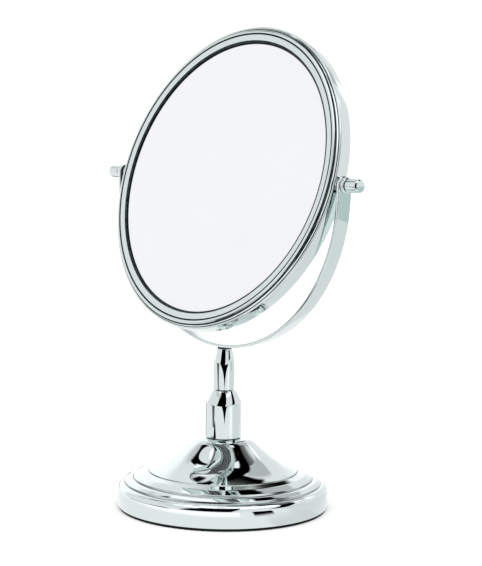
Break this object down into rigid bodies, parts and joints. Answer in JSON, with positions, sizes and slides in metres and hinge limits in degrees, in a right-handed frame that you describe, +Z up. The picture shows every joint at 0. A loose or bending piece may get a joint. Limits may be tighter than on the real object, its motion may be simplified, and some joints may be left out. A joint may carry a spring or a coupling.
{
  "type": "countertop mirror",
  "caption": "Round two-sided chromed mirror that tips over in a swivelling yoke on a slim stem and a weighted bell-shaped foot.",
  "frame": {"origin": "centre of the foot's underside, where the stem's axis meets the table", "axes": "+Z up; +X along the head's pivots, towards the right-hand knob; the flat mirror faces -Y, leaning back"},
  "size_m": [0.2344, 0.136, 0.3099],
  "materials": {
    "chrome": "bright polished chrome plate",
    "silvered_glass": "silvered float glass",
    "plain_steel": "zinc-plated steel",
    "cast_iron": "rough as cast",
    "brass": "turned brass",
    "black_nylon": "moulded nylon",
    "gasket_foam": "closed-cell foam strip",
    "pad_rubber": "matt black rubber"
  },
  "bodies": {
    "stand": {"base_pad": "pad_rubber", "base_shell": "chrome", "base_plate": "plain_steel", "base_weight": "cast_iron", "base_washer": "plain_steel", "base_nut": "plain_steel", "tie_rod": "plain_steel", "stem_sleeve": "chrome", "stem_spindle": "chrome", "swivel_spring_washer": "plain_steel", "swivel_washer": "black_nylon"},
    "yoke": {"yoke": "chrome", "yoke_screw": "plain_steel", "right_friction_washer": "black_nylon", "left_friction_washer": "black_nylon"},
    "head": {"frame_band": "chrome", "front_bezel": "chrome", "rear_bezel": "chrome", "flat_mirror_glass": "silvered_glass", "magnifying_mirror_glass": "silvered_glass", "glass_spacer_ring": "black_nylon", "front_gasket": "gasket_foam", "rear_gasket": "gasket_foam", "right_pivot_nut": "brass", "right_pivot_stud": "plain_steel", "right_pivot_spacer": "chrome", "left_pivot_nut": "brass", "left_pivot_stud": "plain_steel", "left_pivot_spacer": "chrome"},
    "right_knob": {"right_knob": "chrome"},
    "left_knob": {"left_knob": "chrome"}
  },
  "joints": [
    {"name": "yoke_swivel", "type": "hinge", "parent": "stand", "child": "yoke", "pos_m": [0, 0, 0.105], "axis": [0, 0, 1], "continuous": true},
    {"name": "head_tilt", "type": "hinge", "parent": "yoke", "child": "head", "pos_m": [0, 0, 0.2133], "axis": [1, 0, 0], "continuous": true},
    {"name": "right_knob_turn", "type": "hinge", "parent": "head", "child": "right_knob", "pos_m": [0.114, 0, 0.2133], "axis": [1, 0, 0], "range_deg": [0, 180]},
    {"name": "left_knob_turn", "type": "hinge", "parent": "head", "child": "left_knob", "pos_m": [-0.114, 0, 0.2133], "axis": [-1, 0, 0], "range_deg": [0, 180]}
  ]
}
